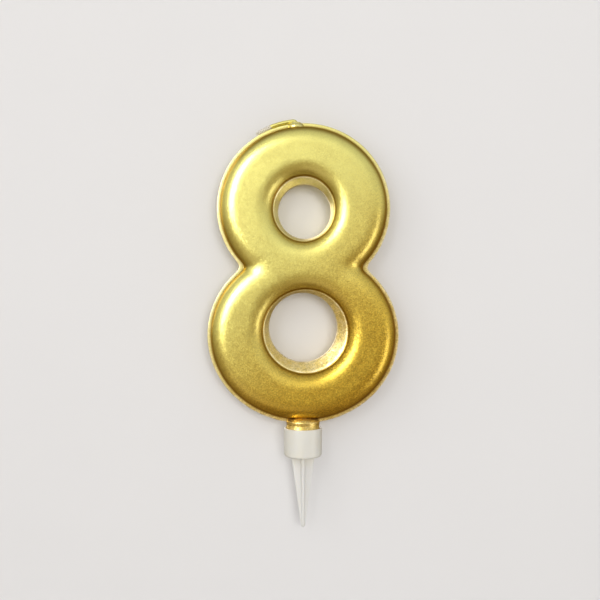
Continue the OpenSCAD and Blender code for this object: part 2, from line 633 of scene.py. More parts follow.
@dataclass(frozen=True)
class WickFinish:
    """Plaited white cotton, lacquered gold along its root.

    The lacquer ends at a ragged edge, coat_end along the wick, give or take coat_fade.
    """

    lacquer: GoldLacquer
    cotton: Colour = (0.76, 0.72, 0.61)
    shade: Colour = (0.34, 0.29, 0.20)
    ridge_light: float = 0.8
    fibre: float = 0.09
    fibre_light: float = 0.5
    fibre_depth: float = 0.03
    roughness: float = 0.75
    fibre_roughness: float = 0.2
    fuzz: float = 0.25
    coat_end: float = 13.6
    coat_fade: float = 1.2
    coat_edge: float = 0.25
    rag: float = 0.7

    def material(self) -> bpy.types.Material:
        """The cotton and the lacquer as one material, mixed by how far along the wick a point is.

        Returns:
            The material.
        """
        material = bpy.data.materials.new("wick_cotton")
        g = Graph(material)
        fibres = g.noise(self.fibre, 3.0, 0.7)
        # Painted shade between the strands and painted light on their ridges, over a random tone from
        # the fibres.
        light = g.attribute("ridge") * self.ridge_light + fibres * self.fibre_light - 0.1
        sockets = {
            "Base Color": g.mix(light.clamped(), self.shade, self.cotton),
            "Roughness": self.roughness + self.fibre_roughness * fibres,
            "Normal": g.bump(fibres, self.fibre_depth),
            "Sheen Weight": self.fuzz,
        }
        cotton = g.node("ShaderNodeBsdfPrincipled", {}, sockets)
        place = g.attribute("along") + (g.noise(self.rag, 2.0, 0.6) - 0.5) * (2 * self.coat_fade)
        bare = g.ramp(place, self.coat_end - self.coat_edge, self.coat_end + self.coat_edge)
        g.surface(g.node("ShaderNodeMixShader", {}, {0: bare, 1: self.lacquer.shader(g), 2: cotton}))
        return material


@dataclass(frozen=True)
class MouldedPlastic:
    """Milky white moulded plastic, with flow clouds, a faint grain from its mould and light scuffs.

    Scuffs are drawn out along the holder, and scuff_stretch is how much slower they change that way.
    """

    base: Colour = (0.76, 0.73, 0.64)
    thin: Colour = (0.74, 0.73, 0.70)
    flow: float = 5.0
    flow_share: float = 0.35
    scuff: float = 0.5
    scuff_stretch: float = 0.12
    scuff_height: float = 0.6
    grain: float = 0.22
    grain_depth: float = 0.006
    roughness: float = 0.36
    flow_roughness: float = 0.06
    scuff_roughness: float = 0.16
    glow: float = 0.3
    glow_reach: Colour = (1.0, 0.9, 0.75)
    glow_depth: float = 1.5
    ior: float = 1.49

    def material(self) -> bpy.types.Material:
        """The plastic as a material.

        Returns:
            The material.
        """
        material = bpy.data.materials.new("holder_plastic")
        g = Graph(material)
        flow = g.ramp(g.noise(self.flow, 3.0, 0.55), 0.3, 0.7)
        drawn_out = g.vector("MULTIPLY", g.place(), (1.0, 1.0, self.scuff_stretch))
        scuffs = g.ramp(g.noise(self.scuff, 3.0, 0.7, drawn_out), 0.62, 0.72)
        height = g.noise(self.grain, 2.0, 0.5) + self.scuff_height * scuffs
        roughness = self.roughness + self.flow_roughness * flow + self.scuff_roughness * scuffs
        clouded = g.mix(flow * self.flow_share, self.base, self.thin)
        sockets = {
            "Base Color": g.mix(g.attribute("thin"), clouded, self.thin),
            "Roughness": roughness.clamped(),
            "Normal": g.bump(height, self.grain_depth),
            "Subsurface Weight": self.glow,
            "Subsurface Radius": self.glow_reach,
            "Subsurface Scale": self.glow_depth * MM,
            "IOR": self.ior,
        }
        g.surface(g.node("ShaderNodeBsdfPrincipled", {}, sockets))
        return material


# ---------------------------------------------------------------------------------------------
# The figure


@dataclass(frozen=True)
class Ellipse:
    """An upright ellipse in the X-Z plane: its centre, half its width and half its height."""

    x: float
    z: float
    half_w: float
    half_h: float

    def grown(self, by: float) -> "Ellipse":
        """The same ellipse with both halves larger by that much."""
        return replace(self, half_w=self.half_w + by, half_h=self.half_h + by)

    def raised(self, by: float) -> "Ellipse":
        """The same ellipse, that much higher."""
        return replace(self, z=self.z + by)

    def at(self, angle: np.ndarray) -> np.ndarray:
        """Points of the ellipse seen from its centre at these angles.

        The reach at an angle is w h over the length of (h cosine, w sine).

        Args:
            angle: Angles from +X, in radians.

        Returns:
            Points shaped (..., 2).
        """
        across, up = np.cos(angle), np.sin(angle)
        reach = self.half_w * self.half_h / np.hypot(self.half_h * across, self.half_w * up)
        return np.stack([self.x + reach * across, self.z + reach * up], -1)

    def outside(self, p: np.ndarray) -> np.ndarray:
        """How far points lie outside the ellipse: its equation's excess over that excess's slope.

        Args:
            p: Points shaped (..., 2).

        Returns:
            Distances, negative inside.
        """
        u = (p[..., 0] - self.x) / self.half_w
        w = (p[..., 1] - self.z) / self.half_h
        rho = np.hypot(u, w)
        return (rho - 1) * rho / np.hypot(u / self.half_w, w / self.half_h)


@dataclass(frozen=True)
class Loop:
    """One loop of the figure.

    outline is the seam rim's outer edge, lip the top edge of the lip round the hole, where the puffed
    body starts, seam the hole where it is narrowest, and height half the body's thickness.
    """

    outline: Ellipse
    lip: Ellipse
    seam: Ellipse
    height: float

    def shrunk(self, by: float) -> "Loop":
        """The loop with every outside face moved in by that much."""
        outline = self.outline.grown(-by)
        return Loop(outline, self.lip.grown(by), self.seam.grown(by), self.height - by)


@dataclass(frozen=True)
class Figure:
    """The figure eight's surface: two puffed loops with a seam rim outside and a lip in each hole.

    rim_half, lip_top and seam_half are heights above the figure's middle plane. The puffed body is
    full height at crown from its edge. The loops join over middle_blend in the middle of the waist,
    and over notch_blend in its notches, between the two places across in blend_span. A larger
    sharpness joins the rim, the lips and the body more crisply. body_foot is added to the distances
    from the lips, so that the body already has some height there, and top_span is the stretch above the
    upper outline's middle over which the rim's wear fades, leaving it darker as painted shade, and the
    painted shade along the body's edge widens.
    """

    upper: Loop
    lower: Loop
    rim_w: float = 1.4
    rim_half: float = 0.9
    rim_round: float = 0.34
    lip_top: float = 4.0
    lip_fade: float = 3.0
    seam_half: float = 0.55
    seam_round: float = 0.35
    body_foot: float = 0.6
    crown: float = 6.7
    middle_blend: float = 14.0
    notch_blend: float = 3.4
    blend_span: tuple[float, float] = (6.0, 23.0)
    sharpness: float = 9.0
    top_span: tuple[float, float] = (8.0, 30.0)
    outer_rays: int = 190
    waist_rays: int = 56
    body_rows: int = 44

    def shrunk(self, by: float, rays: int, waist: int, rows: int) -> "Figure":
        """The figure with every outside face moved in, on a coarser grid.

        Args:
            by: How far the faces move in.
            rays: How many rays reach each outline.
            waist: How many rays reach the waist.
            rows: How many rows cross the body.

        Returns:
            The smaller figure.
        """
        return replace(
            self,
            upper=self.upper.shrunk(by),
            lower=self.lower.shrunk(by),
            rim_half=self.rim_half - by,
            rim_round=self.rim_round / 2,
            lip_top=self.lip_top - by,
            seam_half=self.seam_half - by,
            outer_rays=rays,
            waist_rays=waist,
            body_rows=rows,
        )

    def depth(self, p: np.ndarray) -> np.ndarray:
        """How far in from the puffed body's edge points lie, the two loops' depths smoothly joined.

        Args:
            p: Points in the X-Z plane, shaped (..., 2).

        Returns:
            Depths, negative outside.
        """
        depths = [-loop.outline.grown(-self.rim_w).outside(p) for loop in (self.upper, self.lower)]
        sideways = smooth_step(np.abs(p[..., 0]), *self.blend_span)
        width = self.middle_blend + (self.notch_blend - self.middle_blend) * sideways
        return smooth_max(*depths, width)

    def height(self, p: np.ndarray) -> np.ndarray:
        """Half the thickness at points in the X-Z plane.

        The nearness is the inverse root of the summed inverse squares of the distances to both lips and
        to the edge. The body rises from it along a quarter ellipse, and the lips' and the rim's heights
        join it through a high power mean.

        Args:
            p: Points shaped (..., 2).

        Returns:
            Heights.
        """
        lips = [np.maximum(loop.lip.outside(p), 0) for loop in (self.upper, self.lower)]
        depth = np.maximum(self.depth(p), TINY)
        near = sum(np.power(d + self.body_foot, -2.0) for d in lips) + np.power(depth, -2.0)
        share = np.clip(np.power(near, -0.5) / self.crown, 0, 1)
        lower_share = 1 - smooth_step(p[..., 1], self.lower.lip.z, self.upper.lip.z)
        full = self.upper.height + (self.lower.height - self.upper.height) * lower_share
        parts = [full * np.sqrt(1 - (1 - share) ** 2), np.full_like(depth, self.rim_half)]
        parts += [self.lip_top * bell(d, 0, self.lip_fade) for d in lips]
        return sum(part**self.sharpness for part in parts) ** (1 / self.sharpness)

    def waist_corners(self) -> tuple[np.ndarray, np.ndarray]:
        """The left and right ends of the waist, at the height where both outlines are equally wide.

        Both are found by halving an interval.

        Returns:
            Two points, each (x, z).
        """
        outlines = [loop.outline.grown(-self.rim_w) for loop in (self.upper, self.lower)]
        low, high = self.lower.outline.z, self.upper.outline.z
        for _ in range(HALVINGS):
            z = (low + high) / 2
            squares = [max(0, 1 - ((z - o.z) / o.half_h) ** 2) for o in outlines]
            upper_w, lower_w = (o.half_w * math.sqrt(square) for o, square in zip(outlines, squares))
            low, high = (low, z) if upper_w > lower_w else (z, high)
        sides = np.array([-1.0, 1.0])
        near = np.zeros(2)
        far = np.full(2, self.lower.outline.half_w)
        for _ in range(HALVINGS):
            middle = (near + far) / 2
            inside = self.depth(np.stack([sides * middle, np.full(2, z)], -1)) > 0
            near, far = np.where(inside, middle, near), np.where(inside, far, middle)
        return np.array([-near[0], z]), np.array([near[1], z])

    def edge_along(self, loop: Loop, angle: np.ndarray) -> np.ndarray:
        """Where rays from a lip's centre meet the puffed body's edge.

        Halving an interval finds the loop's own edge, and Newton's steps then reach the joined one.

        Args:
            loop: The loop.
            angle: The rays' angles, in radians.

        Returns:
            Points shaped (rays, 2).
        """
        centre = np.array([loop.lip.x, loop.lip.z])
        away = np.stack([np.cos(angle), np.sin(angle)], -1)
        own = loop.outline.grown(-self.rim_w)
        near = np.zeros_like(angle)
        far = np.full_like(angle, 3 * loop.outline.half_w)
        for _ in range(HALVINGS):
            middle = (near + far) / 2
            inside = own.outside(centre + middle[:, None] * away) < 0
            near, far = np.where(inside, middle, near), np.where(inside, far, middle)
        for _ in range(NEWTON_STEPS):
            here = self.depth(centre + near[:, None] * away)
            ahead = self.depth(centre + (near + NUDGE)[:, None] * away)
            near = near - here * NUDGE / (ahead - here)
        return centre + near[:, None] * away

    def rim_way(self, edge: np.ndarray) -> np.ndarray:
        """The way from the body's edge straight out to the rim's outer edge.

        The direction is down the depth's slope, and Newton's steps find how far the rim reaches.

        Args:
            edge: Points on the body's edge, shaped (rays, 2).

        Returns:
            Vectors shaped (rays, 2).
        """
        nudges = NUDGE * np.eye(2)
        slopes = [self.depth(edge + nudge) - self.depth(edge - nudge) for nudge in nudges]
        away = -np.stack(slopes, -1)
        away /= np.linalg.norm(away, axis=-1, keepdims=True)
        reach = np.full(len(edge), self.rim_w)
        for _ in range(NEWTON_STEPS):
            here = self.depth(edge + reach[:, None] * away)
            ahead = self.depth(edge + (reach + NUDGE)[:, None] * away)
            reach = reach - (here + self.rim_w) * NUDGE / (ahead - here)
        return reach[:, None] * away

    def topness(self, p: np.ndarray) -> np.ndarray:
        """How near points are to the top of the upper loop, from 0 to 1."""
        return smooth_step(p[..., 1] - self.upper.outline.z, *self.top_span)

    def lip_rows(self) -> np.ndarray:
        """The lip's section from the seam's middle up to its top edge.

        Each row is (share of the lip's width, height): up the seam's wall, round its edge along a
        quarter ellipse, up a straight slope, and over a rounded top edge.

        Returns:
            Rows shaped (rows, 2).
        """
        seam_share, steepness, top_round = 0.1, 1.1, 0.5
        round_rows = [0.01, 0.03, 0.06, seam_share]
        slope_rows = [0.18, 0.30, 0.45, 0.60, 0.74, 0.84, 0.90, 0.94, 0.97, 1.0]
        share = np.array(round_rows + slope_rows)
        seam_edge = self.seam_round * np.sqrt(1 - (1 - np.clip(share / seam_share, 0, 1)) ** 2)
        slope = (self.lip_top - self.seam_half - self.seam_round) * steepness * share
        rising = self.seam_half + seam_edge + slope
        height = -smooth_max(-rising, np.full_like(share, -self.lip_top), top_round)
        wall = np.stack([np.zeros(3), self.seam_half * np.array([0, 0.5, 1.0])], -1)
        return np.concatenate([wall, np.stack([share, height], -1)])

    def half(
        self,
        loop: Loop,
        start: np.ndarray,
        end: np.ndarray,
        mirrored: bool,
        shell: Shell,
    ) -> None:
        """Adds one loop's front or back to a shell.

        Rays run anticlockwise from the start corner round the outline to the end corner, and back along
        the waist. Along each ray the surface goes from the hole's seam over the lip and the body to its
        edge, and off the waist on over the rim.

        Args:
            loop: The loop.
            start: The corner of the waist at which the outline starts.
            end: The corner at which it ends.
            mirrored: Whether this is the back.
            shell: What it is added to.
        """
        centre = np.array([loop.lip.x, loop.lip.z])
        first, last = (math.atan2(*(c - centre)[::-1]) for c in (start, end))
        last += 2 * math.pi if last <= first else 0
        edge = self.edge_along(loop, np.linspace(first, last, self.outer_rays))
        edge[0], edge[-1] = start, end
        along = np.linspace(0, 1, self.waist_rays + 2)[1:-1, None]
        bounds = np.concatenate([edge, end + along * (start - end)])
        self.face(loop, bounds, mirrored, shell)
        self.rim(edge, mirrored, shell)

    def face(self, loop: Loop, bounds: np.ndarray, mirrored: bool, shell: Shell) -> None:
        """Adds the lip and the puffed body, from the hole's seam out to the bounds.

        Wear is strongest along the seam and the lip's top edge. Painted shade darkens the foot of the
        body at the lip, a brown halo round the lip, and the body's outer edge, where it also stands for
        a dark reflection and is wider near the top.

        Args:
            loop: The loop.
            bounds: Where each ray ends, shaped (rays, 2).
            mirrored: Whether this is the back.
            shell: What it is added to.
        """
        way = bounds - np.array([loop.lip.x, loop.lip.z])
        angle = np.arctan2(way[:, 1], way[:, 0])
        lip, seam = loop.lip.at(angle), loop.seam.at(angle)
        section = self.lip_rows()
        on_lip = seam[:, None] + section[None, :, 0, None] * (lip - seam)[:, None]
        share = (1 - np.cos(np.pi * np.arange(1, self.body_rows + 1) / self.body_rows)) / 2
        body = lip[:, None] + share[None, :, None] * (bounds - lip)[:, None]
        lip_heights = np.broadcast_to(section[None, :, 1], on_lip.shape[:2])
        flat = np.concatenate([on_lip, body], 1)
        heights = np.concatenate([lip_heights, self.height(body)], 1)

        along_lip = section[:, 0]
        seam_wear = 0.5 * bell(along_lip, 0, 0.1)
        lip_wear = 0.5 + 0.5 * bell(along_lip, 1, 0.1) * (along_lip > 0.5) + seam_wear
        wear = np.zeros(flat.shape[:2])
        wear[:, : len(section)] = lip_wear
        beyond = np.maximum(loop.lip.outside(body), 0)
        # Painted shade: a brown line at the foot of the body, a brown halo round the lip, and a dark
        # band along the body's outer edge, wider near the top.
        edge_width = 1.1 + 1.5 * self.topness(body)
        painted_shade = np.zeros_like(wear)
        painted_shade[:, len(section) :] = (
            0.6 * bell(beyond, 0.55, 0.35)
            + 0.45 * bell(beyond, 0, 2.6)
            + 0.8 * bell(self.depth(body), 0, edge_width, 3)
        )
        self._add(shell, flat, heights, np.stack([wear, painted_shade], -1), True, mirrored)

    def rim(self, edge: np.ndarray, mirrored: bool, shell: Shell) -> None:
        """Adds the seam rim, a flat band with a rounded outer edge.

        Its wear grows outwards and is less near the top, which leaves the rim darker there as painted
        shade, and a line of painted shade lies along the body.

        Args:
            edge: Points on the body's edge, shaped (rays, 2).
            mirrored: Whether this is the back.
            shell: What it is added to.
        """
        r = self.rim_round
        rounding = corner(self.rim_w - r, self.rim_half - r, r, 90, 0)
        inner = np.stack([np.array([0, 0.12, 0.4]) * self.rim_w, np.full(3, self.rim_half)], -1)
        section = np.concatenate([inner, rounding, [[self.rim_w, 0.0]]])
        across = section[:, 0]
        flat = edge[:, None] + (across[None, :, None] / self.rim_w) * self.rim_way(edge)[:, None]
        heights = np.broadcast_to(section[None, :, 1], flat.shape[:2]).copy()
        heights[:, 0] = self.height(edge)
        outward = smooth_step(across, 0.5 * self.rim_w, self.rim_w)
        # Less wear near the top keeps the rim darker there: painted shade.
        wear = (0.35 + 0.55 * outward) * (1 - 0.7 * self.topness(flat))
        # Painted shade along the foot of the body.
        painted_shade = np.broadcast_to(0.9 * bell(across, 0, 0.25), heights.shape)
        self._add(shell, flat, heights, np.stack([wear, painted_shade], -1), False, mirrored)

    @staticmethod
    def _add(
        shell: Shell,
        flat: np.ndarray,
        heights: np.ndarray,
        marks: np.ndarray,
        wrap: bool,
        mirrored: bool,
    ) -> None:
        """Adds a grid of heights over the X-Z plane, in front of it or mirrored behind it.

        Args:
            shell: What it is added to.
            flat: Points in the X-Z plane, shaped (rays, rows, 2).
            heights: Their distances from the plane.
            marks: Their wear and painted shade.
            wrap: Whether the last ray joins the first.
            mirrored: Whether this is the back.
        """
        y = heights if mirrored else -heights
        shell.grid(np.stack([flat[..., 0], y, flat[..., 1]], -1), wrap, mirrored, marks)

    def shell(self, outward: bool = True) -> Surface:
        """The whole figure as one closed surface.

        Args:
            outward: Whether its faces look outwards.

        Returns:
            The closed surface.
        """
        left, right = self.waist_corners()
        shell = Shell()
        for mirrored in (False, True):
            self.half(self.upper, right, left, mirrored, shell)
            self.half(self.lower, left, right, mirrored, shell)
        return shell.welded(outward)


def in_mm(box: tuple) -> tuple[np.ndarray, np.ndarray]:
    """The lowest and highest corner of a node's box, turned from metres into millimetres."""
    low, high = box
    return np.array(low) / MM, np.array(high) / MM


def plain_marks(grid: np.ndarray, wear: float = 0.0) -> np.ndarray:
    """Marks for a grid of a figure's piece: the same wear all over and no painted shade."""
    return np.stack([np.full(grid.shape[:2], wear), np.zeros(grid.shape[:2])], -1)


@dataclass
class Candle:
    """The wax figure on its foot, and its lacquer.

    The ellipses of a loop are placed from the middle of its outline: loop_step is how much higher the
    upper loop's middle stands than the lower one's, and outline_inset keeps the lower outline inside
    the frame's box. coat_gap is the thin gap between the lacquer's inner face and the wax. The lacquer's
    lower edge waves by about drip, its sleeve round the foot is sleeve_h high inside, and the bare foot
    steps in step_z below that edge.
    """

    coat_t: float = 0.35
    coat_gap: float = 0.02
    foot_r: float = 6.7
    foot_bevel: float = 0.6
    neck_h: float = 1.9
    neck_bead: float = 1.0
    neck_step: float = 0.14
    drip: float = 0.35
    sleeve_h: float = 6.0
    step_z: float = 0.5
    loop_step: float = 50.8
    lower_height: float = 7.55
    lower_half_h: float = 35.1
    outline_inset: float = 0.02
    lower_lip: Ellipse = Ellipse(1.0, 1.6, 16.6, 16.4)
    lower_seam: Ellipse = Ellipse(0.0, 3.1, 13.6, 13.8)
    upper_height: float = 7.3
    upper_outline: Ellipse = Ellipse(0.2, 0.0, 34.6, 33.8)
    upper_lip: Ellipse = Ellipse(0.3, -0.8, 12.0, 12.7)
    upper_seam: Ellipse = Ellipse(0.6, -1.6, 10.5, 10.8)
    wick_x: float = -2.8
    collar_r: float = 2.1
    collar_flare: float = 1.1
    collar_bore: float = 0.98
    figure: Figure = field(init=False)

    def __post_init__(self) -> None:
        """Works out the figure and its foot from the frame."""
        coat_low, coat_high = in_mm(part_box("gold_coat"))
        self.coat_end = coat_low[2]
        self.collar_top = coat_high[2]
        self.foot_z = in_mm(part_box("wax_body"))[0][2]
        self.cup_rim = in_mm(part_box("holder"))[1][2]
        lower_z = self.cup_rim + self.neck_h + self.lower_half_h
        upper_z = lower_z + self.loop_step
        lower = Loop(
            Ellipse(0.0, lower_z, coat_high[0] - self.outline_inset, self.lower_half_h),
            self.lower_lip.raised(lower_z),
            self.lower_seam.raised(lower_z),
            self.lower_height,
        )
        upper = Loop(
            self.upper_outline.raised(upper_z),
            self.upper_lip.raised(upper_z),
            self.upper_seam.raised(upper_z),
            self.upper_height,
        )
        self.figure = Figure(upper, lower)

    def neck(self) -> Surface:
        """The lacquer round the neck: a sleeve with a wavy lower edge, a step and a bead under the body.

        The lower edge's height is the sum of three sine waves round the neck.

        Returns:
            A closed shell.
        """
        r, z, end = self.foot_r, self.cup_rim, self.coat_end
        inner_r, face_r, columns = r - self.coat_t, r - 0.02, 192
        lower = self.figure.lower.outline
        bead_z = lower.z - lower.half_h + self.figure.rim_w - 0.9
        outer = np.concatenate(
            [
                [[inner_r, end + 0.1], [r - 0.1, end], [face_r, end + 0.15]],
                [[face_r, z - 1.0], [face_r, z + 0.1]],
                corner(r - self.neck_step - 0.25, z + 0.5, 0.25, 0, 60, 4),
                corner(r - self.neck_step + 0.45, z + 1.3, 0.5, 220, 160, 5),
                corner(r - self.neck_bead, bead_z, self.neck_bead, 0, 64, 8),
                [[r - 2.2, bead_z + 1.7], [0.0, bead_z + 2.7]],
            ]
        )
        inside = end + self.sleeve_h
        inner = [[0.0, inside], [inner_r, inside], [inner_r, end + 0.1]]
        grid = turned(np.concatenate([outer, inner]), columns)
        angle = round_angles(columns)
        wave = np.sin(3 * angle + 0.7) + 0.6 * np.sin(7 * angle + 2.1) + 0.4 * np.sin(13 * angle)
        above = np.maximum(grid[..., 2] - end, 0)
        grid[..., 2] += self.drip * 0.5 * wave * np.exp(-above / 0.5)
        above = np.maximum(grid[..., 2] - end, 0)
        wear = 0.3 + 0.3 * np.exp(-above / 0.4)
        return Shell().grid(grid, True, marks=np.stack([wear, np.zeros_like(wear)], -1)).welded()

    def collar(self) -> Surface:
        """The lacquered wax that climbs the wick: a low ring that flares into the rim.

        Returns:
            A closed shell.
        """
        r, bore, top = self.collar_r, self.collar_bore, self.collar_top
        flared = r + self.collar_flare
        base, hollow_z = top - 3.0, top - 1.6
        profile = np.concatenate(
            [
                [[0.0, base], [flared, base], [flared, top - 1.0]],
                corner(flared, top - 0.32, 0.68, 270, 190, 7)[1:],
                corner(r - 0.25, top - 0.25, 0.25, 0, 90, 5),
                corner(bore + 0.2, top - 0.2, 0.2, 90, 180, 4),
                [[bore, hollow_z], [0.0, hollow_z]],
            ]
        )
        grid = turned(profile, 72, self.wick_x)
        return Shell().grid(grid, True, marks=plain_marks(grid, 0.25)).welded()

    def foot(self) -> Surface:
        """The bare foot: a plug with a bevelled end, stepped in where the lacquer's sleeve starts.

        Returns:
            A closed shell.
        """
        r, end, edge = self.foot_r, self.foot_z, 0.2
        sleeve_r = r - self.coat_t - self.coat_gap
        step_z = self.coat_end - self.step_z
        bevel_r = r - self.foot_bevel
        profile = np.concatenate(
            [
                [[0.0, end + 0.25], [2.0, end + 0.2], [2.6, end + 0.02], [bevel_r - edge, end]],
                corner(bevel_r, end + edge, edge, 270, 315, 3),
                corner(r - edge, end + self.foot_bevel, edge, -45, 0, 3),
                [[r, end + 3.0], [r, step_z - 0.05], [r - 0.05, step_z]],
                [[sleeve_r, step_z + 0.05], [sleeve_r, self.coat_end + 5.0], [0.0, self.coat_end + 5.0]],
            ]
        )
        grid = turned(profile, 160)
        return Shell().grid(grid, True, marks=plain_marks(grid)).welded()

    def build(self, gold: bpy.types.Material, wax: bpy.types.Material) -> list[bpy.types.Object]:
        """Makes the lacquer's shell and the wax body inside it.

        Args:
            gold: The lacquer's material.
            wax: The wax's material.

        Returns:
            The two pieces.
        """
        coarse = {"rays": 84, "waist": 24, "rows": 20}
        lining = self.figure.shrunk(self.coat_t, **coarse)
        core = self.figure.shrunk(self.coat_t + self.coat_gap, **coarse)
        shells = [self.figure.shell(), lining.shell(False), self.neck(), self.collar()]
        coat = make_piece("gold_lacquer_skin", shells, gold, ("edge", "painted_shade"))
        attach(coat, Body.CANDLE.value)
        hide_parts("gold_coat")
        body = make_piece("wax_figure", [core.shell(), self.foot()], wax)
        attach(body, Body.CANDLE.value)
        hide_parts("wax_body")
        return [coat, body]


# ---------------------------------------------------------------------------------------------
# The wick


@dataclass
class Wick:
    """The wick's free end, from inside its collar over a tight bend and down along the outline.

    stub is its straight length below the bend, arc_r the radius on which it lies along the upper loop,
    and last_angle where it ends, in degrees. Its lacquer thins out over bare_span, so the strands stand
    out by ridge there, and plait is the length of one turn of the strands.
    """

    candle: Candle
    r: float = 0.86
    ridge: float = 0.10
    bend_r: float = 1.15
    stub: float = 2.4
    arc_r: float = 34.8
    last_angle: float = 123.05
    plait: float = 2.3
    strands: int = 4
    bare_span: tuple[float, float] = (12.0, 15.0)
    bare_thinner: float = 0.05
    coated_ridge: float = 0.25
    end_round: float = 0.5
    rows: int = 260
    columns: int = 48
    frays: int = 26
    fray_len: float = 1.3
    fray_r: float = 0.05
    fray_sides: int = 6
    seed: int = 8

    def __post_init__(self) -> None:
        """Works out the wick's path from the candle."""
        self.root_x = self.candle.wick_x
        self.arc_z = self.candle.figure.upper.outline.z
        self.end_angle = math.radians(self.last_angle) - self.r / self.arc_r
        centre_x = self.root_x - self.bend_r
        rise = math.sqrt((self.arc_r - self.bend_r) ** 2 - centre_x**2)
        self.bend_centre = (centre_x, self.arc_z + rise)
        self.bend_end = math.atan2(rise, centre_x)

    def path(self, s: np.ndarray) -> tuple[np.ndarray, np.ndarray]:
        """The wick's middle line and its direction, at lengths from its buried end.

        It runs straight up, then round the bend's circle, and then along the outline's.

        Args:
            s: Lengths, in millimetres.

        Returns:
            Points (x, z) and unit directions (x, z), each shaped (n, 2).
        """
        x, z = self.bend_centre
        bend_len = self.bend_r * self.bend_end
        turn = np.clip((s - self.stub) / self.bend_r, 0, self.bend_end)
        swing = np.clip(s - self.stub - bend_len, 0, None) / self.arc_r
        angle = self.bend_end + swing
        straight = np.stack([np.full_like(s, self.root_x), z - self.stub + s], -1)
        bend = np.stack([x + self.bend_r * np.cos(turn), z + self.bend_r * np.sin(turn)], -1)
        arc = np.stack([self.arc_r * np.cos(angle), self.arc_z + self.arc_r * np.sin(angle)], -1)
        point = np.where((s < self.stub)[:, None], straight, np.where((swing > 0)[:, None], arc, bend))
        facing = np.where(swing > 0, angle, turn)
        return point, np.stack([-np.sin(facing), np.cos(facing)], -1)

    @property
    def length(self) -> float:
        """The whole path's length."""
        arc = self.arc_r * (self.end_angle - self.bend_end)
        return self.stub + self.bend_r * self.bend_end + arc

    def plaited(self) -> Surface:
        """The plaited cotton.

        Its radius rises along two sets of strands that wind opposite ways, each a rounded cosine of
        the angle plus or minus the turn along the wick, and the higher one shows.

        Returns:
            A closed shell, marked with the length along the wick and the strands' height.
        """
        s = np.linspace(0, self.length, self.rows)
        point, way = self.path(s)
        angle = round_angles(self.columns)
        turn = 2 * np.pi * s[None] / self.plait
        left = np.abs(np.cos(self.strands * angle / 2 + turn))
        right = np.abs(np.cos(self.strands * angle / 2 - turn))
        height = np.maximum(left, right) ** 1.5
        bare = smooth_step(s, *self.bare_span)[None]
        past = np.maximum(s - self.length + self.end_round, 0) / (self.end_round + 0.12)
        end = np.sqrt(np.clip(1 - past**2, 0, 1))[None]
        relief = self.ridge * (height - 0.5) * (self.coated_ridge + (1 - self.coated_ridge) * bare)
        radius = (self.r - self.bare_thinner * bare + relief) * end
        side = np.cos(angle) * radius
        out = np.stack([side * way[None, :, 1], np.sin(angle) * radius, side * -way[None, :, 0]], -1)
        middle = np.stack([point[:, 0], np.zeros(self.rows), point[:, 1]], -1)
        grid = middle[None] + out
        caps = [np.repeat(middle[None, [i]], self.columns, 0) for i in (0, -1)]
        grid = np.concatenate([caps[0], grid, caps[1]], 1)
        marks = np.stack(np.broadcast_arrays(s[None], height), -1)
        marks = np.concatenate([marks[:, :1], marks, marks[:, -1:]], 1)
        return Shell().grid(grid, True, marks=marks).welded()

    def fray(self, rng: np.random.Generator) -> Surface:
        """One loose fibre at the end: a tapering tube along a parabola that leaves the wick's end.

        Args:
            rng: Where its direction comes from.

        Returns:
            A closed shell.
        """
        point, way = self.path(np.array([self.length - self.end_round]))
        along = np.array([way[0, 0], 0.0, way[0, 1]])
        across = np.array([way[0, 1], 0.0, -way[0, 0]])
        angle = rng.uniform(0, 2 * np.pi)
        side = np.cos(angle) * across + np.sin(angle) * np.array([0.0, 1.0, 0.0])
        start = np.array([point[0, 0], 0.0, point[0, 1]]) + side * rng.uniform(0.1, 0.55)
        rows = 7
        t = np.linspace(0, 1, rows)[:, None]
        spread = rng.uniform(0.05, 0.5) * (0.3 if side @ across < 0 else 1.0)
        line = start + t * along * self.fray_len * rng.uniform(0.55, 1) + t**2 * side * spread
        around = round_angles(self.fray_sides)[:, None]
        thick = self.fray_r * np.sqrt(np.maximum(1 - t[None, :, 0] ** 4, 0))[..., None]
        other = np.cross(along, side)
        grid = line[None] + thick * (np.cos(around) * side + np.sin(around) * other)
        grid = np.concatenate([np.repeat(line[None, :1], self.fray_sides, 0), grid], 1)
        marks = np.stack([np.full(grid.shape[:2], self.length), np.full(grid.shape[:2], 0.9)], -1)
        return Shell().grid(grid, True, marks=marks).welded()

    def build(self, material: bpy.types.Material) -> bpy.types.Object:
        """Makes the free end, from its root in the candle over its bend.

        Args:
            material: The wick's finish.

        Returns:
            The piece.
        """
        rng = np.random.default_rng(self.seed)
        shells = [self.plaited()] + [self.fray(rng) for _ in range(self.frays)]
        piece = make_piece("plaited_wick", shells, material, ("along", "ridge"))
        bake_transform(piece)
        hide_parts("wick_tip")
        return piece


# ---------------------------------------------------------------------------------------------
# The holder


